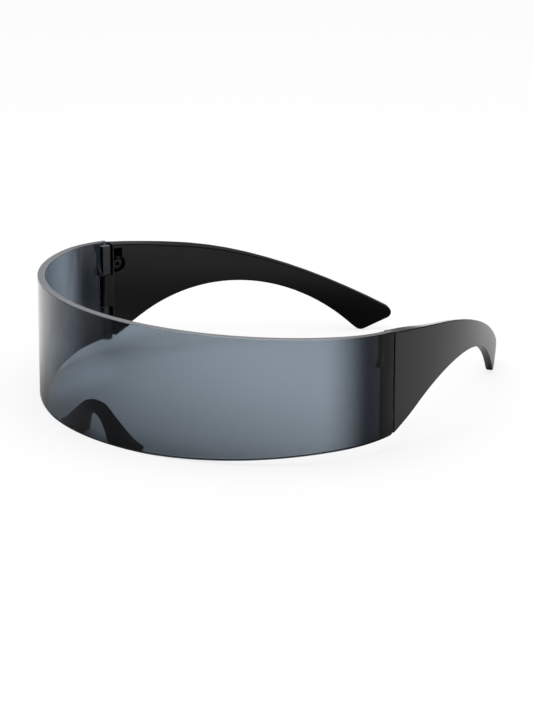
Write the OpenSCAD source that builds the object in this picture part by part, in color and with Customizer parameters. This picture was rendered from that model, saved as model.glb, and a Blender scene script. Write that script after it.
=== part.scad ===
// Wrap-around shield sunglasses: one curved smoke lens, a nose bridge and two folding temples.
// The lens faces -Y and the temples run back towards +Y. The wearer's left is +X.
// The origin is on the surface that the glasses rest on, under the middle of their outline.

/* [Lens] */
// Height of the lens at its middle
lens_h = 43; // [36:0.5:54]
// Wall of the lens
lens_t = 2.6; // [2:0.1:3.4]
// How much lower the top rim is at the temples than at the middle
top_drop = 2.8; // [0:0.1:6]
// How much higher the bottom rim is at the temples than at the middle
bottom_rise = 5.6; // [3:0.2:8]
// Outer radius of the front of the lens
front_r = 81; // [76:1:92]
// Angle that the front of the lens turns through, from side to side
front_turn = 56.8; // [50:0.2:64]
// Outer radius of the lens over each cheekbone
cheek_r = 74; // [64:0.5:80]
// Angle that the lens turns through over each cheekbone
cheek_turn = 38.4; // [34:0.2:42]
// Outer radius of the lens ahead of each temple
corner_r = 36.5; // [34:0.5:48]
// Angle that the lens turns through ahead of each temple
corner_turn = 31.2; // [26:0.2:34]
// Length, front to back, of the flat strip that the bottom rim rests on
foot_flat = 4; // [2:0.5:8]
// Round on the lower corner of each end of the lens
end_round = 1.6; // [0.5:0.1:3]

/* [Hinges] */
// Diameter of the hinge pins
pin_d = 1.4; // [1:0.1:1.6]
// Running gap round a pin, on the radius
pin_play = 0.04; // [0.02:0.01:0.1]
// Depth of the pin's axis behind the outer face
pin_in = 3; // [2.8:0.1:3.2]
// Distance of the pin's axis ahead of the joint line
pin_ahead = 2; // [1.9:0.1:2.4]
// Radius of the knuckles that hold the pin
knuckle_r = 1.7; // [1.4:0.1:1.75]
// Height of the temple's middle knuckle
tab_h = 11.4; // [8:0.2:16]
// Gap above and below the middle knuckle
tab_gap = 0.15; // [0.1:0.05:0.4]
// Gap along the joint line between lens and temple
joint_gap = 0.3; // [0.25:0.05:0.6]
// Wall of the lens left outside the middle knuckle
skin_t = 1.1; // [0.8:0.05:1.1]
// Depth that each end of the pin is set below the rim
pin_inset = 0.4; // [0.1:0.1:1.5]
// Thickness of the gusset ahead of each upper knuckle
gusset_t = 1.2; // [0.8:0.1:2]
// Height of the gusset
gusset_h = 6; // [3:0.5:8]

/* [Temples] */
// Length of a temple, straight from the joint line to its tip
reach = 108; // [96:1:120]
// Thickness of a temple at the joint line
temple_front_t = 4.8; // [4.75:0.05:5.2]
// Thickness of a temple where the tip's curve begins
temple_mid_t = 2.8; // [2.2:0.1:3.6]
// Thickness of a temple at its tip
temple_tip_t = 2.2; // [1.8:0.1:3]
// Outer radius of the temple in plan
temple_r = 158; // [140:1:230]
// Angle that the temple turns through before its tip
temple_turn = 25; // [22:0.5:28]
// Outer radius of the tip in plan
tip_r = 280; // [150:5:320]
// Round on the two corners of the tip
tip_round = 2.6; // [1.5:0.1:3.5]

/* [Moulded pocket] */
// Depth of the pocket inside each temple, behind the upper knuckle
pocket_d = 2; // [0.8:0.1:2.6]
// Radius of the pocket's round part
pocket_r = 3.1; // [2.6:0.1:3.4]
// Distance from the top of the temple down to the pocket
pocket_top = 2.2; // [1.8:0.1:2.6]
// Height of the pocket above the middle of its round part
pocket_h = 5.6; // [4.6:0.1:5.8]
// Width of the pocket above its round part
pocket_w = 3.3; // [2.6:0.1:3.8]
// Distance of the pocket behind the joint line
pocket_back = 1; // [0.8:0.1:2]
// Radius of the round boss in the pocket
boss_r = 1.9; // [1.4:0.1:2]
// Radius of the hole in the boss
boss_hole_r = 0.7; // [0.4:0.1:1]

/* [Nose bridge] */
// Width of the nose bridge along its foot
nose_w = 41; // [34:0.5:48]
// Height of the nose bridge
nose_h = 14; // [12:0.2:18]
// Gap under the nose bridge
nose_lift = 0.2; // [0.1:0.1:1]
// Thickness of the plate against the lens
flange_t = 2; // [1.2:0.1:3]
// Layer of glue between the plate and the lens
glue_gap = 0.1; // [0.05:0.05:0.3]
// Width of the nose arch at the plate
arch_w = 13.2; // [10:0.2:16]
// Height of the nose arch
arch_h = 9; // [7:0.2:10]
// Depth of the nose pads behind the plate
pad_depth = 4; // [3:0.5:8]
// Wall of the nose pads
pad_t = 2; // [1.4:0.1:2.6]
// How much wider the arch is at the back of the pads, on each side
pad_flare = 2; // [0:0.2:3.4]

/* [Hidden] */

// Smoothness of the round faces, of the rounded outlines and of the faceted nose pads
$fn = 180;
outline_step = 3;
plan_step = 2;
pad_fn = 32;
// How far a cutter runs past what it cuts
overrun = 1;

// Arcs of the outer face in plan, each a radius and a turn, from the middle of the lens to the tip
half_front = [front_r, front_turn / 2];
cheek = [cheek_r, cheek_turn];
corner = [corner_r, corner_turn];
tip_turn_share = 0.5;
arcs = [half_front, cheek, corner, [temple_r, temple_turn], [tip_r, temple_turn * tip_turn_share]];
temple_first = 3;

// A heading of 0 runs along +X and grows towards +Y. A side is the outward direction at a heading.
function dir(h) = [cos(h), sin(h)];
function side(h) = [sin(h), -cos(h)];
function unit(v) = v / norm(v);
function heading(i) = i == 0 ? 0 : heading(i - 1) + arcs[i - 1][1];
function step(i) = arcs[i][0] * (side(heading(i + 1)) - side(heading(i)));
function place(i) = i == 0 ? [0, 0] : place(i - 1) + step(i - 1);
function centre(i) = place(i) - arcs[i][0] * side(heading(i));

// Thickness of the wall at the start and the end of each arc
walls = [
    [lens_t, lens_t],
    [lens_t, lens_t],
    [lens_t, lens_t],
    [temple_front_t, temple_mid_t],
    [temple_mid_t, temple_tip_t]
];

// A point of an arc at a share of its turn: on its outer face, or on its inner face when inside is 1
function depth(i, s) = walls[i][0] + s * (walls[i][1] - walls[i][0]);
function point(i, s, inside) =
    centre(i) + (arcs[i][0] - inside * depth(i, s)) * side(heading(i) + s * arcs[i][1]);
function steps(i) = ceil(arcs[i][1] / plan_step);
function edge(first, last, inside, start = 0) =
    [for (i = [first : last]) for (k = [i == first ? 0 : 1 : steps(i)])
        point(i, i == first ? start + (1 - start) * k / steps(i) : k / steps(i), inside)];
function backwards(v) = [for (k = [len(v) - 1 : -1 : 0]) v[k]];
function tail(v) = [for (k = [1 : len(v) - 1]) v[k]];

// The joint line is where the lens ends. Places are measured from the middle of the lens's front.
joint = place(temple_first);
joint_heading = heading(temple_first);
end_top = lens_h - top_drop;
end_h = end_top - bottom_rise;
tab_low = bottom_rise + (end_h - tab_h) / 2;
tab_high = tab_low + tab_h;
boss_z = end_top - pocket_top - pocket_h;
// The boss grows out of the pocket's front wall
boss_back_share = 0.75;
boss_back = boss_back_share * boss_r;

// Half the angle inside the corner v, between its neighbours a and b
function half_corner(a, v, b) = acos(unit(a - v) * unit(b - v)) / 2;

// An outline is a list of corners, each an across, an up and a radius of its round.
function corner_round(a, v, b) =
    let (p = [a[0], a[1]], q = [v[0], v[1]], s = [b[0], b[1]],
         u = unit(p - q), w = unit(s - q), half = half_corner(p, q, s),
         mid = q + unit(u + w) * v[2] / sin(half), from = q + u * v[2] / tan(half) - mid,
         sweep = 180 - 2 * half, way = u[0] * w[1] - u[1] * w[0] > 0 ? -1 : 1,
         n = ceil(sweep / outline_step))
    [for (k = [0 : n]) let (g = way * sweep * k / n)
        mid + [from[0] * cos(g) - from[1] * sin(g), from[0] * sin(g) + from[1] * cos(g)]];
function rounded(c) =
    [for (i = [0 : len(c) - 1]) let (n = len(c))
        each (c[i][2] == 0 ? [[c[i][0], c[i][1]]] : corner_round(c[(i + n - 1) % n], c[i], c[(i + 1) % n]))];
function mirrored(c) = [for (p = backwards(c)) [for (k = [0 : len(p) - 1]) k == 0 ? -p[k] : p[k]]];

// Side view of the lens: along is measured back from the front of the lens
lens_rise = bottom_rise / (joint[1] - foot_flat);
lens_side = [
    [-overrun, 0, 0],
    [foot_flat, 0, foot_flat],
    [joint[1], bottom_rise, end_round],
    [joint[1] + overrun * lens_rise, end_top, 0],
    [-overrun, lens_h + overrun * top_drop / joint[1], 0]
];

// Side view of a temple, along the straight line from the joint line to the tip. The places are
// shares of the reach and of the height at the joint line.
temple_heading = joint_heading + temple_turn * 0.6;
top_bend_share = [0.615, 0.705];
tip_top_share = [1, 0.025];
tip_foot_share = [0.87, -0.175];
arch_peak_share = [0.5, 0.88];
arch_start_share = [0.088, 0.138];
arch_run_share = 0.94;
function on_temple(s) = [s[0] * reach, bottom_rise + s[1] * end_h];
top_bend = on_temple(top_bend_share);
tip_top = on_temple(tip_top_share);
tip_foot = on_temple(tip_foot_share);
arch_peak = on_temple(arch_peak_share);
arch_start = on_temple(arch_start_share);
temple_top = [0, end_top];
temple_foot = [0, bottom_rise];

// The top edge curves from end to end, as gently as the round at the tip lets it
tip_run = tip_round / tan(half_corner(top_bend, tip_top, tip_foot));
top_run = min(norm(top_bend - temple_top), norm(tip_top - top_bend) - tip_run);
top_r = top_run * tan(half_corner(temple_top, top_bend, tip_top));
arch_run = arch_run_share * norm(arch_peak - arch_start);
arch_r = arch_run * tan(half_corner(arch_start, arch_peak, tip_foot));
start_run = (1 - arch_run_share) * norm(arch_peak - arch_start);
start_r = start_run * tan(half_corner(temple_foot, arch_start, arch_peak));
temple_side = [
    concat(temple_foot + (temple_foot - arch_start) / 4, 0),
    concat(arch_start, start_r),
    concat(arch_peak, arch_r),
    concat(tip_foot, tip_round),
    concat(tip_top, tip_round),
    concat(top_bend, top_r),
    concat(temple_top + (temple_top - top_bend) / 20, 0)
];
temple_outline = rounded(temple_side);

// The back of the outline is the outer face of a tip, and it sets the place of the origin
tip_along = max([for (p = temple_outline) p[0]]);
tip_centre = centre(4);
tip_angle = asin((tip_along - (tip_centre - joint) * dir(temple_heading)) / tip_r);
back = tip_centre[1] + tip_r * side(temple_heading + tip_angle)[1];
origin_y = -back / 2;

module both_sides() {
    children();
    mirror([1, 0, 0]) children();
}

// Stands what is drawn at the joint line, with X outward, Y back along the temple
module at_joint() {
    translate(joint) rotate(joint_heading - 90) children();
}

// Stands what is drawn on the axis of the hinge pin
module at_pin() {
    at_joint() translate([-pin_in, -pin_ahead]) children();
}

// Extrudes a side view across a line that runs with a heading
module across(h, width) {
    rotate(h) rotate([90, 0, 0]) linear_extrude(width, center = true) children();
}

// The wall of the lens in plan, from the middle to each joint line
module lens_plan() {
    outer = edge(0, temple_first - 1, 0);
    inner = edge(0, temple_first - 1, 1);
    linear_extrude(lens_h)
        polygon(concat(mirrored(tail(outer)), outer, backwards(inner), backwards(mirrored(tail(inner)))));
}

// The wall of a temple in plan, which thins towards the tip
module temple_plan() {
    start = joint_gap / (temple_r * temple_turn * PI / 180);
    last = len(arcs) - 1;
    outer = edge(temple_first, last, 0, start);
    inner = edge(temple_first, last, 1, start);
    linear_extrude(lens_h) polygon(concat(outer, backwards(inner)));
}

module pin_bore() {
    cylinder(lens_h, r = pin_d / 2 + pin_play);
}

// The barrel of a knuckle, joined to the wall outside it
module knuckle(low, high) {
    translate([0, 0, low]) {
        cylinder(high - low, r = knuckle_r);
        translate([0, -knuckle_r]) cube([pin_in - lens_t / 2, 2 * knuckle_r, high - low]);
    }
}

module gusset() {
    ahead = pin_ahead + knuckle_r;
    out = temple_front_t - lens_t;
    at_joint() translate([-lens_t, -ahead, tab_high + tab_gap]) rotate([90, 0, 0])
        linear_extrude(gusset_t) polygon([[lens_t / 2, 0], [-out, 0], [0, gusset_h], [lens_t / 2, gusset_h]]);
}

module lens() {
    color([0.32, 0.35, 0.39, 0.6]) translate([0, origin_y]) difference() {
        intersection() {
            union() {
                lens_plan();
                both_sides() {
                    at_pin() knuckle(0, lens_h);
                    gusset();
                }
            }
            across(90, 4 * joint[0]) polygon(rounded(lens_side));
        }
        both_sides() {
            tab_room();
            at_pin() pin_bore();
        }
    }
}

// Room for the temple's middle knuckle, behind the skin of the lens
module tab_room() {
    ahead = pin_ahead + knuckle_r + joint_gap;
    deep = temple_front_t + overrun - skin_t;
    at_joint() translate([-skin_t - deep, -ahead, tab_low - tab_gap])
        cube([deep, ahead + overrun, tab_h + 2 * tab_gap]);
}

module pocket() {
    room = lens_h;
    at_joint() translate([-temple_front_t - overrun, pocket_back, boss_z]) rotate([90, 0, 90])
        linear_extrude(pocket_d + overrun) difference() {
            intersection() {
                union() {
                    translate([boss_back, 0]) circle(pocket_r);
                    square([pocket_w, pocket_h]);
                }
                translate([0, -room / 2]) square(room);
            }
            translate([boss_back, 0]) difference() {
                circle(boss_r);
                circle(boss_hole_r);
            }
        }
}

module temple() {
    translate([0, origin_y]) difference() {
        union() {
            intersection() {
                temple_plan();
                translate(joint) across(temple_heading, reach) polygon(temple_outline);
            }
            at_pin() knuckle_tab();
        }
        at_pin() pin_bore();
        pocket();
    }
}

// The temple's middle knuckle and the neck that joins it to the temple
module knuckle_tab() {
    translate([0, 0, tab_low]) {
        cylinder(tab_h, r = knuckle_r);
        translate([-knuckle_r, 0]) cube([2 * knuckle_r, pin_ahead + joint_gap + knuckle_r, tab_h]);
    }
}

module hinge_pin() {
    top = end_top - pin_inset;
    low = bottom_rise + pin_inset;
    translate([0, origin_y]) at_pin() translate([0, 0, low]) cylinder(top - low, d = pin_d);
}

// Half outlines of the nose bridge, as shares of its width and height
nose_top_share = [0.1, 1];
nose_waist_share = [0.39, 0.3];
nose_foot_share = [0.5, 0.1];
arch_top_share = [0.2, 1];
pad_back_share = 0.16;
function nose_corner(s, w, h, r) = [s[0] * w, nose_lift + s[1] * (h - nose_lift), r];
nose_half = [
    [nose_w / 2, nose_lift, 0],
    nose_corner(nose_foot_share, nose_w, nose_h, 0),
    nose_corner(nose_waist_share, nose_w, nose_h, nose_h),
    nose_corner(nose_top_share, nose_w, nose_h, nose_h / 4)
];
function arch_half(w, h) = [
    nose_corner([0.5, -0.2], w, h, 0),
    nose_corner(arch_top_share, w, h, h / 4)
];

module bell() {
    polygon(rounded(concat(nose_half, mirrored(nose_half))));
}

// Outline of the nose arch, widened by a margin on each side and at the top
module arch(w, margin) {
    half = arch_half(w + 2 * margin, arch_h + margin);
    polygon(rounded(concat(half, mirrored(half))));
}

// A thin slice of the nose arch, upright at a distance behind the plate
module arch_slice(along, w, margin, thin) {
    translate([0, along]) rotate([90, 0, 0]) linear_extrude(thin, center = true) arch(w, margin);
}

// The arch from the plate to the back of the pads, widening as it goes
module arch_tunnel(margin, past) {
    thin = pad_t / 20;
    wide = arch_w + 2 * pad_flare;
    start = lens_t + glue_gap;
    end = start + flange_t + pad_depth;
    hull() {
        arch_slice(start + flange_t / 2 - past, arch_w, margin, thin, $fn = pad_fn);
        arch_slice(end + past, wide, margin, thin, $fn = pad_fn);
    }
}

module nose_bridge() {
    outer_r = front_r - lens_t - glue_gap;
    start = lens_t + glue_gap;
    end = start + flange_t + pad_depth;
    color([0.06, 0.06, 0.065]) translate([0, origin_y]) difference() {
        union() {
            intersection() {
                translate(centre(0)) rotate(-front_turn / 2 - 90) rotate_extrude(angle = front_turn)
                    translate([outer_r - flange_t, 0]) square([flange_t, lens_h]);
                across(0, 2 * front_r) bell();
            }
            // The pads slope down from the plate to their back
            intersection() {
                arch_tunnel(pad_t, 0);
                across(90, nose_w) polygon([
                    [start + flange_t / 2, nose_lift],
                    [end, nose_lift],
                    [end, nose_lift + pad_back_share * nose_h],
                    [start + flange_t / 2, nose_h]
                ]);
            }
        }
        arch_tunnel(0, flange_t);
    }
}

module left_temple() {
    color([0.07, 0.07, 0.075]) temple();
}

module right_temple() {
    color([0.07, 0.07, 0.075]) mirror([1, 0, 0]) temple();
}

module left_hinge_pin() {
    color([0.72, 0.72, 0.74]) hinge_pin();
}

module right_hinge_pin() {
    color([0.72, 0.72, 0.74]) mirror([1, 0, 0]) hinge_pin();
}

lens();
nose_bridge();
left_temple();
right_temple();
left_hinge_pin();
right_hinge_pin();
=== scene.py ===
import math

import bmesh
import bpy
from mathutils import Matrix, Vector


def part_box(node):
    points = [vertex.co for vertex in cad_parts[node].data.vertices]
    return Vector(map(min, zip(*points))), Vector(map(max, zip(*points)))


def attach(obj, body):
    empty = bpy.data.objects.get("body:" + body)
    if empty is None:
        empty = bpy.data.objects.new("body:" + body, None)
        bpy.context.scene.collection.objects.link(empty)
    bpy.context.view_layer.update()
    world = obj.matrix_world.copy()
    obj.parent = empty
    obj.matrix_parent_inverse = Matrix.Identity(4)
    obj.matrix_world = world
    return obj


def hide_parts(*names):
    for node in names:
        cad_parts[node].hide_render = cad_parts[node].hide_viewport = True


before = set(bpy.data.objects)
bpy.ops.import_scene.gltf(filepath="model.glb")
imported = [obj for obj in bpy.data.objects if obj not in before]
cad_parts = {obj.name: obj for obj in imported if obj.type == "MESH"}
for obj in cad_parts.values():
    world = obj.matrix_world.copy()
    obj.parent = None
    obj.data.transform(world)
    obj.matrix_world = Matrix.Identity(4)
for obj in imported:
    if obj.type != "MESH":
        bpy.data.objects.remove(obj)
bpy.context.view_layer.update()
print("frame loaded:", ", ".join(sorted(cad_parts)))

metre = 0.001  # pieces are drawn in millimetres and end in metres
edgeSteps = 4  # faces round a rounded edge
thinnestEdge = 0.02
edgeShare = 0.45  # of a wall, that one of its rounded edges takes at most
past = 2  # how far a cutter reaches beyond what it cuts
tiny = 1e-6  # keeps a place just ahead of an end

# Sockets of a Mix node, whose names repeat: its share, then those for colours and for numbers
mixBy = 0
colourA, colourB, colourOut = 6, 7, 2
numberA, numberB, numberOut = 2, 3, 0


def linear(hexText):
    parts = [int(hexText[i:i + 2], 16) / 255 for i in (1, 3, 5)]
    return [p / 12.92 if p <= 0.04045 else ((p + 0.055) / 1.055) ** 2.4 for p in parts] + [1]


def addNode(tree, kind, settings=None, links=None):
    # a setting is an input of the node where it has one of that name, and else a property
    node = tree.nodes.new(kind)
    for name, value in (settings or {}).items():
        if isinstance(name, int) or name in node.inputs:
            node.inputs[name].default_value = value
        else:
            setattr(node, name, value)
    for name, source in (links or {}).items():
        tree.links.new(source, node.inputs[name])
    return node


def newMaterial(name):
    material = bpy.data.materials.new(name)
    material.use_nodes = True
    material.node_tree.nodes.clear()
    return material, material.node_tree


# The outer face in plan, from the middle of the lens back to the tip of a temple
plan = {
    "arcs": ((81, 28.4), (74, 38.4), (36.5, 31.2), (158, 25), (280, 12.5)),  # radius, turn
    "walls": ((2.6, 2.6), (2.6, 2.6), (2.6, 2.6), (4.8, 2.8), (2.8, 2.2)),  # at start and end
    "lensArcs": 3,
    "frontY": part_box("lens")[0].y / metre,
}


def along(heading):
    return Vector((math.cos(math.radians(heading)), math.sin(math.radians(heading))))


def outward(heading):
    return Vector((math.sin(math.radians(heading)), -math.cos(math.radians(heading))))


def layArcs():
    laid, heading, start, gone = [], 0, Vector((0, plan["frontY"])), 0
    for (radius, turn), wall in zip(plan["arcs"], plan["walls"]):
        centre = start - radius * outward(heading)
        length = radius * math.radians(turn)
        laid.append({"radius": radius, "turn": turn, "wall": wall, "centre": centre,
                     "heading": heading, "start": gone, "length": length})
        start = centre + radius * outward(heading + turn)
        heading, gone = heading + turn, gone + length
    return laid


def onPlan(distance, inside=0):
    # point of the wall at a distance from the middle of the lens: 0 is its outer face, 1 its inner
    arc = [a for a in arcs if distance >= a["start"]][-1]
    share = (distance - arc["start"]) / arc["length"]
    wall = arc["wall"][0] + share * (arc["wall"][1] - arc["wall"][0])
    heading = arc["heading"] + share * arc["turn"]
    return arc["centre"] + (arc["radius"] - inside * wall) * outward(heading), heading


def atJoint(out, back):
    return jointPoint + out * outward(jointHeading) + back * along(jointHeading)


arcs = layArcs()
firstTempleArc = arcs[plan["lensArcs"]]
jointAt = firstTempleArc["start"]
jointHeading = firstTempleArc["heading"]
jointPoint = firstTempleArc["centre"] + firstTempleArc["radius"] * outward(jointHeading)
lensWall = plan["walls"][0][0]
templeWall = plan["walls"][plan["lensArcs"]][0]  # at the joint


def bisect(test, low, high, rounds=40):
    for _ in range(rounds):
        middle = (low + high) / 2
        low, high = (middle, high) if test(middle) < 0 else (low, middle)
    return (low + high) / 2


def ease(value, start, end):
    # smooth change from 0 to 1
    share = min(1, max(0, (value - start) / (end - start)))
    return share * share * (3 - 2 * share)


def curveAt(points, x):
    # height of a smooth curve through the points, level at its first
    k = max(0, min(len(points) - 2, sum(1 for p in points[1:-1] if x > p[0])))

    def slope(i):
        before, after = points[max(0, i - 1)], points[min(len(points) - 1, i + 1)]
        return (after[1] - before[1]) / (after[0] - before[0]) if i > 0 else 0
    (x0, y0), (x1, y1) = points[k], points[k + 1]
    wide = x1 - x0
    t = max(0, min(1, (x - x0) / wide))
    return (y0 * (1 + 2 * t) * (1 - t) ** 2 + wide * slope(k) * t * (1 - t) ** 2
            + y1 * t * t * (3 - 2 * t) + wide * slope(k + 1) * t * t * (t - 1))


def wallRing(outer, inner, lowAt, highAt, edge, inset=0):
    # upright section of a wall, with rounded corners
    across = inner - outer
    width = across.length
    height = highAt(outer) - lowAt(outer) - 2 * inset
    radius = min(edge - inset, edgeShare * (width - 2 * inset), edgeShare * height)
    radius = max(thinnestEdge, radius)
    ring = []
    for corner, (sideways, up) in enumerate(((0, 0), (1, 0), (1, 1), (0, 1))):
        for k in range(edgeSteps + 1):
            turn = math.radians(180 + 90 * corner + 90 * k / edgeSteps)
            middle = width - inset - radius if sideways else inset + radius
            spot = outer + across * ((middle + radius * math.cos(turn)) / width)
            base = highAt(spot) - inset - radius if up else lowAt(spot) + inset + radius
            ring.append(Vector((spot.x, spot.y, base + radius * math.sin(turn))))
    return ring


def roundedEdge(radius):
    # distance from the end and inset from the side, at each step of a rounded end
    turns = [math.pi / 2 * k / edgeSteps for k in range(edgeSteps + 1)]
    return [(radius * (1 - math.cos(t)), radius * (1 - math.sin(t))) for t in turns]


def endInset(radius, left):
    # inset of a section that is a little ahead of a rounded end
    return radius - math.sqrt(radius ** 2 - (radius - left) ** 2) if left < radius else 0


def meshPiece(name, points, faces):
    mesh = bpy.data.meshes.new(name)
    mesh.from_pydata([tuple(p) for p in points], [], faces)
    made = bmesh.new()
    made.from_mesh(mesh)
    bmesh.ops.recalc_face_normals(made, faces=made.faces)
    made.to_mesh(mesh)
    made.free()
    piece = bpy.data.objects.new(name, mesh)
    bpy.context.scene.collection.objects.link(piece)
    return piece


def loft(name, rings, closed=False):
    # skin over rings of points, capped at both ends or closed back to its first ring
    count = len(rings[0])
    faces = []
    for i in range(len(rings) if closed else len(rings) - 1):
        after = (i + 1) % len(rings)
        for k in range(count):
            n = (k + 1) % count
            faces.append((i * count + k, i * count + n, after * count + n, after * count + k))
    if not closed:
        faces.append(tuple(range(count)))
        faces.append(tuple(len(rings) * count - 1 - k for k in range(count)))
    return meshPiece(name, [p for ring in rings for p in ring], faces)


def pillar(name, outline, lowAt, highAt, edge):
    # upright prism with rounded ends: outline gives its plan at an inset, the others its ends
    levels = [(inset, up, lowAt) for up, inset in roundedEdge(edge)]
    levels += [(inset, -up, highAt) for up, inset in roundedEdge(edge)[::-1]]
    return loft(name, [[Vector((p.x, p.y, end(p) + up)) for p in outline(inset)]
                       for inset, up, end in levels])


def mirrorX(piece):
    twin = piece.copy()
    twin.data = piece.data.copy()
    bpy.context.scene.collection.objects.link(twin)
    made = bmesh.new()
    made.from_mesh(twin.data)
    bmesh.ops.scale(made, vec=(-1, 1, 1), verts=made.verts)
    bmesh.ops.reverse_faces(made, faces=made.faces)
    made.to_mesh(twin.data)
    made.free()
    return twin


def cut(piece, tools, operation):
    for tool in tools:
        modifier = piece.modifiers.new("cut", "BOOLEAN")
        modifier.operation = operation
        modifier.solver = "EXACT"
        modifier.object = tool
    graph = bpy.context.evaluated_depsgraph_get()
    mesh = bpy.data.meshes.new_from_object(piece.evaluated_get(graph), depsgraph=graph)
    piece.modifiers.clear()
    piece.data = mesh
    for tool in tools:
        bpy.data.objects.remove(tool)


def finishPiece(piece, name, material, body, node, sharp=35):
    # sharp is the angle between faces, in degrees, from which an edge shows
    piece.name = name
    piece.data.name = name
    piece.data.transform(Matrix.Scale(metre, 4))
    piece.data.materials.clear()
    piece.data.materials.append(material)
    piece.data.polygons.foreach_set("use_smooth", [True] * len(piece.data.polygons))
    piece.data.set_sharp_from_angle(angle=math.radians(sharp))
    weighted = piece.modifiers.new("faceWeight", "WEIGHTED_NORMAL")
    weighted.keep_sharp = True
    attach(piece, body)
    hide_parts(node)
    return piece


def makePolycarbonate():
    # Smoke polycarbonate, injection moulded and polished: clear, grey-blue through its thickness
    look = {
        "ior": 1.58,
        "stain": "#4b7791",
        "stainPerMetre": 560.0,
        "smearMm": 11.1,  # faint wiping marks in the gloss
        "smearRange": (0.35, 0.75),
        "roughness": (0.015, 0.05),
        "clear": "#fbfcfd",
        "paintedShadeEnd": "#45474b",  # painted shade: the lens made darker at the hinges
        "shadeFade": (-40.5, -24.5),  # where that painted shade deepens, front to back
        "shadedGlossEnd": "#6a6a6a",  # painted shade: the outer face's gloss dimmed at the hinges
        "faceChange": 10,  # tells the outer face from the inner one
        "paintedRimLight": "#84868a",  # painted light on the upper rim, in the middle and at the hinges
        "paintedRimLightEnd": "#707174",
        "rimLightTilt": (0.5, 0.9),  # upward share of the normal where the rim begins and is full
    }
    material, tree = newMaterial("smokePolycarbonateMoulded")
    place = addNode(tree, "ShaderNodeTexCoord")
    smears = addNode(tree, "ShaderNodeTexNoise",
                     {"Scale": 1 / (look["smearMm"] * metre), "Detail": 4.0},
                     {"Vector": place.outputs["Object"]})
    gloss = addNode(tree, "ShaderNodeMapRange",
                    {"From Min": look["smearRange"][0], "From Max": look["smearRange"][1],
                     "To Min": look["roughness"][0], "To Max": look["roughness"][1]},
                    {"Value": smears.outputs["Fac"]})

    # painted shade: the lens darkens towards both hinges, over a length ahead of them
    axes = addNode(tree, "ShaderNodeSeparateXYZ", links={"Vector": place.outputs["Object"]})
    depth = addNode(tree, "ShaderNodeMapRange",
                    {"interpolation_type": "SMOOTHSTEP", "From Min": look["shadeFade"][0] * metre,
                     "From Max": look["shadeFade"][1] * metre}, {"Value": axes.outputs["Y"]})
    colourAndShade = addNode(tree, "ShaderNodeMix",
                   {"data_type": "RGBA", colourA: linear(look["clear"]),
                    colourB: linear(look["paintedShadeEnd"])}, {mixBy: depth.outputs["Result"]})

    # painted shade: there the outer face reflects less than the inner one
    face = addNode(tree, "ShaderNodeNewGeometry")
    outside = addNode(tree, "ShaderNodeVectorMath", {"operation": "DOT_PRODUCT"},
                      {0: face.outputs["Normal"], 1: place.outputs["Object"]})
    outer = addNode(tree, "ShaderNodeMapRange",
                    {"From Min": -look["faceChange"] * metre,
                     "From Max": look["faceChange"] * metre}, {"Value": outside.outputs["Value"]})
    shadedGloss = addNode(tree, "ShaderNodeMath", {"operation": "MULTIPLY"},
                   {0: depth.outputs["Result"], 1: outer.outputs["Result"]})
    shine = addNode(tree, "ShaderNodeMix",
                    {"data_type": "RGBA", colourA: (1, 1, 1, 1),
                     colourB: linear(look["shadedGlossEnd"])}, {mixBy: shadedGloss.outputs["Value"]})

    # painted light: where the upper rim faces up it is made light grey and opaque, standing in for
    # light scattered up through the wall, and less of it at the hinges
    tilt = addNode(tree, "ShaderNodeSeparateXYZ", links={"Vector": face.outputs["Normal"]})
    rimLightMask = addNode(tree, "ShaderNodeMapRange",
                     {"From Min": look["rimLightTilt"][0], "From Max": look["rimLightTilt"][1]},
                     {"Value": tilt.outputs["Z"]})
    edge = addNode(tree, "ShaderNodeMix",
                   {"data_type": "RGBA", colourA: linear(look["paintedRimLight"]),
                    colourB: linear(look["paintedRimLightEnd"])}, {mixBy: depth.outputs["Result"]})
    base = addNode(tree, "ShaderNodeMix", {"data_type": "RGBA"},
                   {mixBy: rimLightMask.outputs["Result"], colourA: colourAndShade.outputs[colourOut],
                    colourB: edge.outputs[colourOut]})
    clear = addNode(tree, "ShaderNodeMapRange", {"To Min": 1.0, "To Max": 0.0},
                    {"Value": rimLightMask.outputs["Result"]})
    shader = addNode(tree, "ShaderNodeBsdfPrincipled", {"IOR": look["ior"]},
                     {"Base Color": base.outputs[colourOut], "Roughness": gloss.outputs["Result"],
                      "Transmission Weight": clear.outputs["Result"],
                      "Specular Tint": shine.outputs[colourOut]})
    stain = addNode(tree, "ShaderNodeVolumeAbsorption",
                    {"Color": linear(look["stain"]), "Density": look["stainPerMetre"]})
    addNode(tree, "ShaderNodeOutputMaterial", links={"Surface": shader.outputs["BSDF"],
                                                     "Volume": stain.outputs["Volume"]})
    return material


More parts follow.
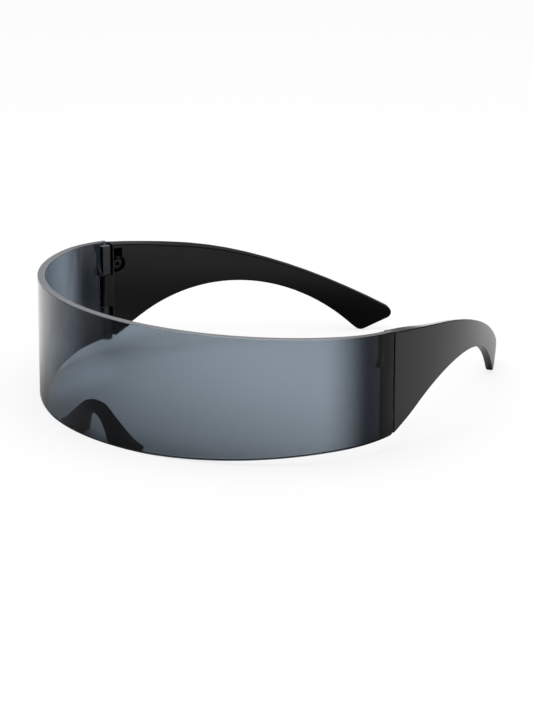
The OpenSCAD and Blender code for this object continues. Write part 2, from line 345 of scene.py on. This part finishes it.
def makeBlackPlastic():
    # Black ABS, injection moulded in a polished mould: deep gloss with a faint moulded ripple
    look = {
        "colour": "#080809",
        "ior": 1.4,
        "patchMm": 8.33,  # slightly duller patches
        "patchRange": (0.3, 0.7),
        "roughness": (0.06, 0.14),
        "rippleMm": 1.2,
        "rippleDeepMm": 0.05,
        "rippleStrength": 0.02,
    }
    material, tree = newMaterial("blackAbsMoulded")
    place = addNode(tree, "ShaderNodeTexCoord")
    patches = addNode(tree, "ShaderNodeTexNoise",
                      {"Scale": 1 / (look["patchMm"] * metre), "Detail": 5.0},
                      {"Vector": place.outputs["Object"]})
    gloss = addNode(tree, "ShaderNodeMapRange",
                    {"From Min": look["patchRange"][0], "From Max": look["patchRange"][1],
                     "To Min": look["roughness"][0], "To Max": look["roughness"][1]},
                    {"Value": patches.outputs["Fac"]})
    ripple = addNode(tree, "ShaderNodeTexNoise",
                     {"Scale": 1 / (look["rippleMm"] * metre), "Detail": 2.0},
                     {"Vector": place.outputs["Object"]})
    bump = addNode(tree, "ShaderNodeBump",
                   {"Strength": look["rippleStrength"], "Distance": look["rippleDeepMm"] * metre},
                   {"Height": ripple.outputs["Fac"]})
    shader = addNode(tree, "ShaderNodeBsdfPrincipled",
                     {"Base Color": linear(look["colour"]), "IOR": look["ior"]},
                     {"Roughness": gloss.outputs["Result"], "Normal": bump.outputs["Normal"]})
    addNode(tree, "ShaderNodeOutputMaterial", links={"Surface": shader.outputs["BSDF"]})
    return material


def makeSteel():
    # Stainless steel wire, drawn: bright, with fine rings round it
    look = {
        "colour": "#c4c2bf",
        "roughness": 0.28,
        "ringMm": 0.12,
        "ringDeepMm": 0.02,
        "ringStrength": 0.1,
    }
    material, tree = newMaterial("stainlessSteelDrawn")
    place = addNode(tree, "ShaderNodeTexCoord")
    rings = addNode(tree, "ShaderNodeTexWave",
                    {"bands_direction": "Z", "Scale": 0.5 / (look["ringMm"] * metre),
                     "Distortion": 1.5, "Detail": 2.0}, {"Vector": place.outputs["Object"]})
    bump = addNode(tree, "ShaderNodeBump",
                   {"Strength": look["ringStrength"], "Distance": look["ringDeepMm"] * metre},
                   {"Height": rings.outputs["Fac"]})
    shader = addNode(tree, "ShaderNodeBsdfPrincipled",
                     {"Base Color": linear(look["colour"]), "Metallic": 1.0,
                      "Roughness": look["roughness"]}, {"Normal": bump.outputs["Normal"]})
    addNode(tree, "ShaderNodeOutputMaterial", links={"Surface": shader.outputs["BSDF"]})
    return material


polycarbonate = makePolycarbonate()
blackPlastic = makeBlackPlastic()
steel = makeSteel()
print("materials ready")


# The hinge that lens and temples share, from the joint line at the outer face
hinge = {
    "pin": (-3, -2),  # out and back
    "boreRadius": 0.74,
    "knuckleRadius": 1.7,
    "knuckleSteps": 24,
    "tabLow": 17.2,  # the temple's knuckle
    "tabHigh": 28.6,
    "tabGap": 0.15,
    "tabRoot": 2,  # how far back it runs into the temple
    "jointGap": 0.3,
    "skin": 1.1,  # of the lens outside the temple's knuckle
    "roomInside": 8,  # reach of the cut for that knuckle, from the outer face inwards
    "edge": 0.15,
    "blockCorner": 0.4,  # of the upper knuckle, squared on the inside
    "blockSteps": 6,  # round that corner
    "blockDrop": 1.0,  # of its top below the rim
}


def knuckleOutline(reach, backwards=False):
    # plan of a round knuckle that runs out into the wall, or back into the temple
    def outline(inset):
        radius = hinge["knuckleRadius"] - inset
        out, back = hinge["pin"]
        points = []
        for k in range(hinge["knuckleSteps"] + 1):
            t = math.radians((180 if backwards else 90) + 180 * k / hinge["knuckleSteps"])
            points.append((out + radius * math.cos(t), back + radius * math.sin(t)))
        if backwards:
            points += [(out + radius, reach), (out - radius, reach)]
        else:
            points += [(out + reach, back - radius), (out + reach, back + radius)]
        return [atJoint(x, y) for x, y in points]
    return outline


def blockOutline(reach):
    # plan of the upper knuckle
    def outline(inset):
        half, corner = hinge["knuckleRadius"] - inset, hinge["blockCorner"]
        out, back = hinge["pin"]
        steps = hinge["blockSteps"]
        points = []
        for way, first in ((1, 90), (-1, 180)):
            turns = [math.radians(first + 90 * k / steps) for k in range(steps + 1)]
            points += [(out - half + corner + corner * math.cos(t),
                        back + way * (half - corner) + corner * math.sin(t)) for t in turns]
        points += [(out + reach, back - half), (out + reach, back + half)]
        return [atJoint(x, y) for x, y in points]
    return outline


def barrel(name, radius, low, high, steps=48):
    middle = atJoint(*hinge["pin"])
    turns = [2 * math.pi * k / steps for k in range(steps)]
    spots = [middle + radius * Vector((math.cos(t), math.sin(t))) for t in turns]
    return loft(name, [[Vector((p.x, p.y, z)) for p in spots] for z in (low, high)])


def box(name, outs, backs, low, high):
    corners = [(outs[0], backs[0]), (outs[1], backs[0]), (outs[1], backs[1]), (outs[0], backs[1])]
    spots = [atJoint(x, y) for x, y in corners]
    return loft(name, [[Vector((p.x, p.y, z)) for p in spots] for z in (low, high)])


lens = {
    "height": 43,
    "topDrop": 2.8,  # from the middle to the joints
    "bottomRise": 5.6,
    "flat": 4,  # depth of the strip that the glasses rest on
    "endRound": 1.6,  # lower corner at the joint
    "edge": 0.4,
    "step": 1.0,
    "endLength": 2,  # with finer steps, closer together towards the end
    "endStep": 0.1,
    "endCrowding": 1.5,
    "gusset": {"thick": 1.2, "high": 6, "wide": 2.2, "overlap": 0.2},
}
lensDepth = jointPoint.y - plan["frontY"]
lensSlope = lens["bottomRise"] / (lensDepth - lens["flat"])


def lensHigh(p):
    return lens["height"] - lens["topDrop"] * (p.y - plan["frontY"]) / lensDepth


def lensLow(p):
    # flat in front, then rising in a straight line to a rounded corner
    y, radius = p.y - plan["frontY"], lens["endRound"]
    centre = lensDepth - radius
    if y > centre + radius * math.sin(math.atan(lensSlope)):
        up = lensSlope * (centre - lens["flat"]) + radius * math.hypot(1, lensSlope)
        return up - math.sqrt(max(0, radius ** 2 - (y - centre) ** 2))
    return max(0, lensSlope * (y - lens["flat"]))


def makeLens():
    length, edge = lens["endLength"], lens["edge"]
    count = round(length / lens["endStep"])
    stations = [k * lens["step"] for k in range(math.ceil((jointAt - length) / lens["step"]))]
    stations += [jointAt - length * (1 - k / count) ** lens["endCrowding"]
                 for k in range(count + 1)]
    rings = []
    for distance in [-s for s in stations[:0:-1]] + stations:
        spot = min(abs(distance), jointAt - tiny)
        outer, inner = onPlan(spot)[0], onPlan(spot, 1)[0]
        if distance < 0:
            outer, inner = Vector((-outer.x, outer.y)), Vector((-inner.x, inner.y))
        inset = endInset(edge, jointAt - abs(distance))
        rings.append(wallRing(outer, inner, lensLow, lensHigh, edge, inset))
    body = loft("lens_body", rings)

    # the two knuckles start in the middle of the wall, and the gusset stands ahead of the upper one
    out, back = hinge["pin"]
    roomLow, roomHigh = hinge["tabLow"] - hinge["tabGap"], hinge["tabHigh"] + hinge["tabGap"]
    inWall = -out - lensWall / 2
    ahead = back - hinge["knuckleRadius"]
    rib = lens["gusset"]
    shape = [(-lensWall / 2, 0), (-lensWall - rib["wide"], 0), (-lensWall, rib["high"]),
             (-lensWall / 2, rib["high"])]
    sides = [[Vector((*atJoint(x, y), roomHigh + z)) for x, z in shape]
             for y in (ahead - rib["thick"], ahead + rib["overlap"])]
    added = [
        pillar("upper", blockOutline(inWall), lambda p: roomHigh,
               lambda p: lensHigh(p) - hinge["blockDrop"], hinge["edge"]),
        pillar("lower", knuckleOutline(inWall), lensLow, lambda p: roomLow, hinge["edge"]),
        loft("gusset", sides),
    ]
    cut(body, added + [mirrorX(t) for t in added], "UNION")

    # room for the temple's knuckle, and the bore of the pin
    taken = [
        box("room", (-hinge["roomInside"], -hinge["skin"]), (ahead - hinge["jointGap"], past),
            roomLow, roomHigh),
        barrel("bore", hinge["boreRadius"], -past, lens["height"] + past),
    ]
    cut(body, taken + [mirrorX(t) for t in taken], "DIFFERENCE")
    return finishPiece(body, "smoke_lens", polycarbonate, "front", "lens")


lensPiece = makeLens()
print("lens made:", len(lensPiece.data.polygons), "faces")


temple = {
    "straight": jointHeading + 15,  # heading of the straight line from joint to tip
    "edge": 0.45,
    "step": 1.2,
    "firstStep": 0.4,
    "tipLength": 4,  # with finer steps
    "tipSteps": 18,
    "tipEnd": 0.03,
    # length over which the sections turn from square to the wall to square to the line
    "twist": 12,
    "search": (128, 6),  # distance behind the joint, and to both sides of a section, to search
    # side view along that line: along, up, radius
    "outline": (
        (-2.4, 4.4, 0), (9.5, 10.37, 106.7), (54, 36.05, 66), (93.96, -0.46, 2.6),
        (108, 6.47, 2.6), (66.42, 29.99, 233.9), (-3.4, 40.7, 0)),
    "cornerSteps": 8,  # at least, and more where one would turn by more degrees than
    "cornerTurn": 2,
    # slope of the top across the wall: level at the joint, falling inwards behind it
    "topFall": 0.17,
    "fallFrom": (8, 30),
    "topLift": ((0, -0.35), (9, -0.05), (24, 0.3), (44, 0.55), (70, 0.25), (90, 0)),  # along, up
}

# Behind the hinge, on the inside: round below and square above, with a boss in the round part
pocket = {
    "back": 1,
    "centre": (1.425, 32.4),  # of the round part: back from there, up
    "radius": 3.1,
    "top": 5.6,  # above the centre
    "wide": 3.3,
    "roundSteps": (20, 10),  # below the centre and above it
    # depth below the inner face, and how much wider it is there
    "lip": ((-1, 1.12), (-0.02, 0.12), (0.12, 0), (2, 0)),
    "slotDeep": (1, 3.6),  # from and to, above the boss
    "slotGap": 0.1,
    # depth below the inner face, and radius
    "boss": ((2.5, 1.9), (0.35, 1.9), (0.18, 1.8), (0.12, 1.6), (0.12, 0.9), (0.3, 0.7),
             (2.5, 0.7)),
    "bossSteps": 36,
}


def roundedCorner(before, corner, after, radius):
    a, c, b = Vector(before[:2]), Vector(corner[:2]), Vector(after[:2])
    if radius == 0:
        return [c]
    u, w = (a - c).normalized(), (b - c).normalized()
    half = math.acos(max(-1, min(1, u.dot(w)))) / 2
    middle = c + (u + w).normalized() * radius / math.sin(half)
    start = c + u * radius / math.tan(half) - middle
    sweep = math.pi - 2 * half
    way = -1 if u.x * w.y - u.y * w.x > 0 else 1
    count = max(temple["cornerSteps"], math.ceil(math.degrees(sweep) / temple["cornerTurn"]))
    points = []
    for k in range(count + 1):
        t = way * sweep * k / count
        points.append(middle + Vector((start.x * math.cos(t) - start.y * math.sin(t),
                                       start.x * math.sin(t) + start.y * math.cos(t))))
    return points


def templeChains():
    # the lower and the upper edge, both from the joint to the tip
    corners = temple["outline"]
    points = []
    for i, corner in enumerate(corners):
        points += roundedCorner(corners[i - 1], corner, corners[(i + 1) % len(corners)], corner[2])
    tip = max(range(len(points)), key=lambda i: points[i].x)
    return points[:tip + 1], points[:tip - 1:-1]


lowChain, highChain = templeChains()
tipAlong = lowChain[-1].x
lastHeight = tipAlong - 0.0001  # heights are read just ahead of the tip, where both edges meet


def templeAlong(p):
    return (p - jointPoint).dot(along(temple["straight"]))


def heightOn(chain, p):
    x = min(lastHeight, templeAlong(p))
    for a, b in zip(chain, chain[1:]):
        if x <= b.x:
            return a.y + (b.y - a.y) * max(0, x - a.x) / (b.x - a.x)
    return chain[-1].y


def templeRing(x, inset):
    # upright section at a distance along the straight line
    far, aside = temple["search"]
    distance = bisect(lambda d: templeAlong(onPlan(d)[0]) - x, jointAt, jointAt + far)
    outer, heading = onPlan(distance)
    start = jointAt + hinge["jointGap"]
    turned = ease(distance, start, start + temple["twist"])
    ahead = along(heading + (temple["straight"] - heading) * turned)
    inside = bisect(lambda d: (onPlan(d, 1)[0] - outer).dot(ahead),
                    distance - aside, distance + aside)
    inner = onPlan(max(inside, jointAt), 1)[0]
    fall = temple["topFall"] * ease(x, *temple["fallFrom"])
    lift = curveAt(temple["topLift"], x)
    return wallRing(outer, inner, lambda p: heightOn(lowChain, p),
                    lambda p: heightOn(highChain, p) + lift - fall * (p - outer).length,
                    temple["edge"], inset)


def pocketOutline(grow):
    # side view of the pocket, larger all round by grow
    centreBack, centreUp = pocket["centre"]
    below, above = pocket["roundSteps"]
    radius, upper = pocket["radius"] + grow, pocket["wide"] + grow
    turn = math.acos(max(-1, min(1, -(centreBack + grow) / radius)))
    turns = [-turn * (1 - k / below) for k in range(below + 1)]
    turn = math.acos((upper - centreBack) / radius)
    turns += [turn * k / above for k in range(1, above + 1)]
    points = [(centreBack + radius * math.cos(t), radius * math.sin(t)) for t in turns]
    points[0] = (-grow, points[0][1])
    points += [(upper, pocket["top"] + grow), (-grow, pocket["top"] + grow)]
    return [(y, centreUp + z) for y, z in points]


def makeTemple():
    # the near one: a long body with the middle knuckle, hollowed by the pocket and its slot
    edge, tipLength, tipSteps = temple["edge"], temple["tipLength"], temple["tipSteps"]
    start = templeAlong(onPlan(jointAt + hinge["jointGap"])[0])
    stops = [(start + x, inset) for x, inset in roundedEdge(edge)]
    x = stops[-1][0] + temple["firstStep"]
    while x < tipAlong - tipLength:
        stops.append((x, 0))
        x += temple["step"]
    for k in range(tipSteps + 1):
        left = tipLength * (1 - k / tipSteps) ** 2 + temple["tipEnd"]
        stops.append((tipAlong - left, endInset(edge, left)))
    body = loft("temple_body", [templeRing(x, inset) for x, inset in stops])
    tab = pillar("tab", knuckleOutline(hinge["tabRoot"], True), lambda p: hinge["tabLow"],
                 lambda p: hinge["tabHigh"], hinge["edge"])
    cut(body, [tab], "UNION")

    def onSide(depth, points):
        # points of a side view, back and up, at a depth below the inner face
        return [Vector((*atJoint(depth - templeWall, pocket["back"] + y), z)) for y, z in points]

    bore = barrel("bore", hinge["boreRadius"], 0, lens["height"])
    hollow = loft("pocket", [onSide(depth, pocketOutline(grow)) for depth, grow in pocket["lip"]])
    cut(body, [hollow, bore], "DIFFERENCE")
    (y, z), bossRadius = pocket["centre"], pocket["boss"][0][1]
    slot = box("slot", [depth - templeWall for depth in pocket["slotDeep"]],
               (pocket["back"], pocket["back"] + pocket["wide"]),
               z + bossRadius + pocket["slotGap"], z + pocket["top"])
    cut(body, [slot], "DIFFERENCE")
    turns = [2 * math.pi * k / pocket["bossSteps"] for k in range(pocket["bossSteps"])]
    rings = [onSide(depth, [(y + radius * math.cos(t), z + radius * math.sin(t)) for t in turns])
             for depth, radius in pocket["boss"]]
    cut(body, [loft("boss", rings, closed=True)], "UNION")
    return body


leftTemple = makeTemple()
rightTemple = mirrorX(leftTemple)
finishPiece(leftTemple, "left_temple_moulding", blackPlastic, "left_temple", "left_temple")
finishPiece(rightTemple, "right_temple_moulding", blackPlastic, "right_temple", "right_temple")
print("temples made:", len(leftTemple.data.polygons), "faces each")


nose = {
    # half of the plate's top edge and half of the arch: along the lens, up
    "top": ((0, 12.5), (2.6, 12.4), (4.4, 11.8), (5.9, 10.8), (8, 9.2), (10.7, 7.2), (13, 5.4),
            (15, 3.9), (16.9, 2.7), (18.5, 1.9), (20, 1.3)),
    "arch": ((0, 8.4), (1.6, 8.1), (3, 7.1), (4.2, 5.5), (5.2, 3.7), (6, 1.9), (6.6, 0.2)),
    "lift": 0.2,  # above the table
    "glue": 0.1,
    "thick": 2,
    "edge": 0.3,
    "endShare": 0.9,  # of that edge, that the plate's two ends step in at most
    "step": 0.25,
    "padDepth": 2.8,
    "padThick": 2,
    "padRoot": 1,  # how far a pad reaches into the plate
    "padFlare": (2.4, 1.3),  # of its side at the arch, and of its outer side
    "padFoot": 2.4,  # height up to which the pads have their full depth
    "padSteps": 4,  # between two points of the arch
    "padRoundSteps": 8,
}


def onNose(sideways, depth):
    # point of the bridge in plan, from its face at the lens
    radius = arcs[0]["radius"] - lensWall - nose["glue"]
    return arcs[0]["centre"] + (radius - depth) * outward(math.degrees(sideways / radius))


def makePlate():
    halfWide, halfArch, edge = nose["top"][-1][0], nose["arch"][-1][0], nose["edge"]
    count = math.ceil(2 * halfWide / nose["step"])
    rounding = [(halfWide + edge - x, inset) for x, inset in roundedEdge(edge)[:-1]]
    stops = [(-x, inset) for x, inset in rounding]
    stops += [(-halfWide + 2 * halfWide * k / count, 0) for k in range(count + 1)]
    stops += rounding[::-1]
    rings = []
    for sideways, inset in stops:
        high = curveAt(nose["top"], abs(sideways))
        low = curveAt(nose["arch"], abs(sideways)) if abs(sideways) < halfArch else nose["lift"]
        rings.append(wallRing(onNose(sideways, 0), onNose(sideways, nose["thick"]),
                              lambda p: low, lambda p: high, edge,
                              min(inset, nose["endShare"] * edge)))
    return loft("plate", rings)


def makePads():
    # a rounded rib round the arch, deeper and splayed wider towards its feet
    path = [(-x, z) for x, z in reversed(nose["arch"][1:])] + list(nose["arch"])
    fine = []
    for a, b in zip(path, path[1:]):
        for k in range(nose["padSteps"]):
            x = a[0] + (b[0] - a[0]) * k / nose["padSteps"]
            fine.append((x, curveAt(nose["arch"], abs(x))))
    fine.append(path[-1])
    thick, wide = nose["thick"], nose["padThick"]
    inFlare, outFlare = nose["padFlare"]
    top, half = nose["top"][0][1], wide / 2
    rings = []
    for i, (x, z) in enumerate(fine):
        before, after = fine[max(0, i - 1)], fine[min(len(fine) - 1, i + 1)]
        way = Vector((after[0] - before[0], after[1] - before[1])).normalized()
        aside = Vector((-way.y, way.x))
        if i in (0, len(fine) - 1):
            aside = Vector((-1 if i == 0 else 1, 0))
        deep = thick + nose["padDepth"] * min(1, (top - z) / (top - nose["padFoot"]))
        turns = [math.pi * k / nose["padRoundSteps"] for k in range(1, nose["padRoundSteps"])]
        section = [(0, thick - nose["padRoot"]), (0, deep - half)]
        section += [(half - half * math.cos(t), deep - half + half * math.sin(t)) for t in turns]
        section += [(wide, deep - half), (wide, thick - nose["padRoot"])]
        ring = []
        for off, depth in section:
            flare = inFlare + (outFlare - inFlare) * off / wide
            lean = off + flare * max(0, depth - thick) / nose["padDepth"]
            spot = onNose(x + aside.x * lean, depth)
            ring.append(Vector((spot.x, spot.y, max(nose["lift"], z + aside.y * lean))))
        rings.append(ring)
    return loft("pads", rings)


nosePiece = makePlate()
cut(nosePiece, [makePads()], "UNION")
finishPiece(nosePiece, "nose_bridge_moulding", blackPlastic, "front", "nose_bridge",
            sharp=50)
print("nose bridge made:", len(nosePiece.data.polygons), "faces")

for side in ("left", "right"):
    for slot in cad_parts[side + "_hinge_pin"].material_slots:
        slot.material = steel
print("pins polished")


# Floor, light and world, in metres. Where two numbers are followed by two shares, the floor's
# light changes from the one share to the other between two distances, and these are in mm
stage = {
    "floorSize": 4.0,
    "floorDrop": 0.00005,  # below the glasses, so that it doesn't meet the faces they rest on
    "floorColour": "#f8f8f8",
    "plainWhite": 0.8,  # share of plain white in what the camera sees of the floor
    # gloss sees the floor dimmer in front, along a slanting way, and round a place behind the
    # middle, and lighter on the far side
    "glossWay": (-0.3, 1, 0),
    "glossFall": ((-115, 5), (0.08, 0.8)),
    "glossCentre": (-0.025, 0.05, 0),
    "glossMiddle": ((5, 105), (0.05, 1.0)),
    "glossSide": ((-140, -50), (0.33, 0.0)),
    # glass sees it dimmer in front, and lighter round a place behind the far end of the nose bridge
    "glassFall": ((-150, 30), (0.05, 1.1)),
    "glassCentre": (-0.085, -0.062, 0),
    "glassSide": ((34, 52), (1.5, 1.0)),
    "worldLight": 0.55,  # what lights the glasses
    # what camera and glass see instead, and gloss at the horizon and above it
    "worldGlow": {"camera": 1.0, "glass": 1.0, "horizon": 0.3, "above": 0.2},
    "horizonBand": (0.06, 0.28),  # sine of the height where the dark part begins and is full
    "lampSize": 1.1,
    "lampHeight": 1.2,
    "lampPower": 10.0,
}


def glossOnly(tree, ray):
    # Cycles counts light through rough glass as glossy too
    return addNode(tree, "ShaderNodeMath", {"operation": "SUBTRACT", "use_clamp": True},
                   {0: ray.outputs["Is Glossy Ray"],
                    1: ray.outputs["Is Transmission Ray"]}).outputs["Value"]


def makeFloor():
    # Board, painted matt: plain and pale, with the soft shadow of the glasses
    half = stage["floorSize"] / 2
    floor = meshPiece("floor", [(-half, -half, 0), (half, -half, 0), (half, half, 0),
                                (-half, half, 0)], [(0, 1, 2, 3)])
    floor.location.z = -stage["floorDrop"]
    material, tree = newMaterial("paintedBoardMatt")
    ray = addNode(tree, "ShaderNodeLightPath")
    place = addNode(tree, "ShaderNodeTexCoord")
    axes = addNode(tree, "ShaderNodeSeparateXYZ", links={"Vector": place.outputs["Object"]})
    fromMiddle = addNode(tree, "ShaderNodeVectorMath",
                         {"operation": "DISTANCE", 1: stage["glossCentre"]},
                         {0: place.outputs["Object"]})
    fromSide = addNode(tree, "ShaderNodeVectorMath",
                       {"operation": "DISTANCE", 1: stage["glassCentre"]},
                       {0: place.outputs["Object"]})
    way = addNode(tree, "ShaderNodeVectorMath",
                  {"operation": "DOT_PRODUCT", 1: stage["glossWay"]},
                  {0: place.outputs["Object"]})
    shade = {}
    for name, source in (("glossFall", way.outputs["Value"]),
                         ("glossMiddle", fromMiddle.outputs["Value"]),
                         ("glossSide", axes.outputs["X"]),
                         ("glassFall", axes.outputs["Y"]),
                         ("glassSide", fromSide.outputs["Value"])):
        (start, end), (low, high) = stage[name]
        change = addNode(tree, "ShaderNodeMapRange",
                         {"interpolation_type": "SMOOTHSTEP", "From Min": start * metre,
                          "From Max": end * metre, "To Min": low, "To Max": high},
                         {"Value": source})
        shade[name] = change.outputs["Result"]
    inGloss = addNode(tree, "ShaderNodeMath", {"operation": "MULTIPLY_ADD"},
                      {0: shade["glossFall"], 1: shade["glossMiddle"], 2: shade["glossSide"]})
    inGlass = addNode(tree, "ShaderNodeMath", {"operation": "MULTIPLY"},
                      {0: shade["glassFall"], 1: shade["glassSide"]})
    level = addNode(tree, "ShaderNodeMix", {"data_type": "FLOAT", numberA: 1.0},
                    {mixBy: glossOnly(tree, ray), numberB: inGloss.outputs["Value"]})
    level = addNode(tree, "ShaderNodeMix", {"data_type": "FLOAT"},
                    {mixBy: ray.outputs["Is Transmission Ray"],
                     numberA: level.outputs[numberOut], numberB: inGlass.outputs["Value"]})
    colour = addNode(tree, "ShaderNodeVectorMath",
                     {"operation": "SCALE", 0: linear(stage["floorColour"])[:3]},
                     {"Scale": level.outputs[numberOut]})
    paint = addNode(tree, "ShaderNodeBsdfDiffuse", links={"Color": colour.outputs["Vector"]})
    glow = addNode(tree, "ShaderNodeEmission", {"Color": (1, 1, 1, 1), "Strength": 1.0})
    share = addNode(tree, "ShaderNodeMath", {"operation": "MULTIPLY", 1: stage["plainWhite"]},
                    {0: ray.outputs["Is Camera Ray"]})
    both = addNode(tree, "ShaderNodeMixShader",
                   links={0: share.outputs["Value"], 1: paint.outputs["BSDF"],
                          2: glow.outputs["Emission"]})
    addNode(tree, "ShaderNodeOutputMaterial", links={"Surface": both.outputs["Shader"]})
    floor.data.materials.append(material)


def makeWorld():
    # even light, which camera and glass see as white, and gloss as a dim studio above a horizon
    world = bpy.data.worlds.new("studio")
    bpy.context.scene.world = world
    world.use_nodes = True
    tree = world.node_tree
    tree.nodes.clear()
    glow, light, band = stage["worldGlow"], stage["worldLight"], stage["horizonBand"]
    ray = addNode(tree, "ShaderNodeLightPath")
    place = addNode(tree, "ShaderNodeTexCoord")
    axes = addNode(tree, "ShaderNodeSeparateXYZ", links={"Vector": place.outputs["Generated"]})
    dim = addNode(tree, "ShaderNodeMapRange",
                  {"interpolation_type": "SMOOTHSTEP", "From Min": band[0], "From Max": band[1],
                   "To Min": glow["horizon"] - light, "To Max": glow["above"] - light},
                  {"Value": axes.outputs["Z"]})
    level = addNode(tree, "ShaderNodeMath", {"operation": "MULTIPLY_ADD", 2: light},
                    {0: glossOnly(tree, ray), 1: dim.outputs["Result"]})
    for name, kind in (("Is Camera Ray", "camera"), ("Is Transmission Ray", "glass")):
        level = addNode(tree, "ShaderNodeMath",
                        {"operation": "MULTIPLY_ADD", 1: glow[kind] - light},
                        {0: ray.outputs[name], 2: level.outputs["Value"]})
    shine = addNode(tree, "ShaderNodeBackground", {"Color": (1, 1, 1, 1)},
                    {"Strength": level.outputs["Value"]})
    addNode(tree, "ShaderNodeOutputWorld", links={"Surface": shine.outputs["Background"]})


def makeLamp():
    lamp = bpy.data.lights.new("overhead", "AREA")
    lamp.shape = "SQUARE"
    lamp.size = stage["lampSize"]
    lamp.energy = stage["lampPower"]
    holder = bpy.data.objects.new("overhead", lamp)
    holder.location = (0, 0, stage["lampHeight"])
    bpy.context.scene.collection.objects.link(holder)


view = {
    "place": (0.7392, -0.6535, 0.3179),
    "azimuth": 48.68,
    "elevation": 17.23,
    "lens": 153.65,
    "clipStart": 0.01,
}


def makeCamera():
    camera = bpy.data.cameras.new("camera")
    camera.lens = view["lens"]
    camera.clip_start = view["clipStart"]
    holder = bpy.data.objects.new("camera", camera)
    bpy.context.scene.collection.objects.link(holder)
    a, e = math.radians(view["azimuth"]), math.radians(view["elevation"])
    back = Vector((math.sin(a) * math.cos(e), -math.cos(a) * math.cos(e), math.sin(e)))
    holder.location = view["place"]
    holder.rotation_euler = (-back).to_track_quat("-Z", "Y").to_euler()
    bpy.context.scene.camera = holder


makeFloor()
makeWorld()
makeLamp()
makeCamera()
bpy.context.scene.view_settings.view_transform = "Standard"
print("stage set")
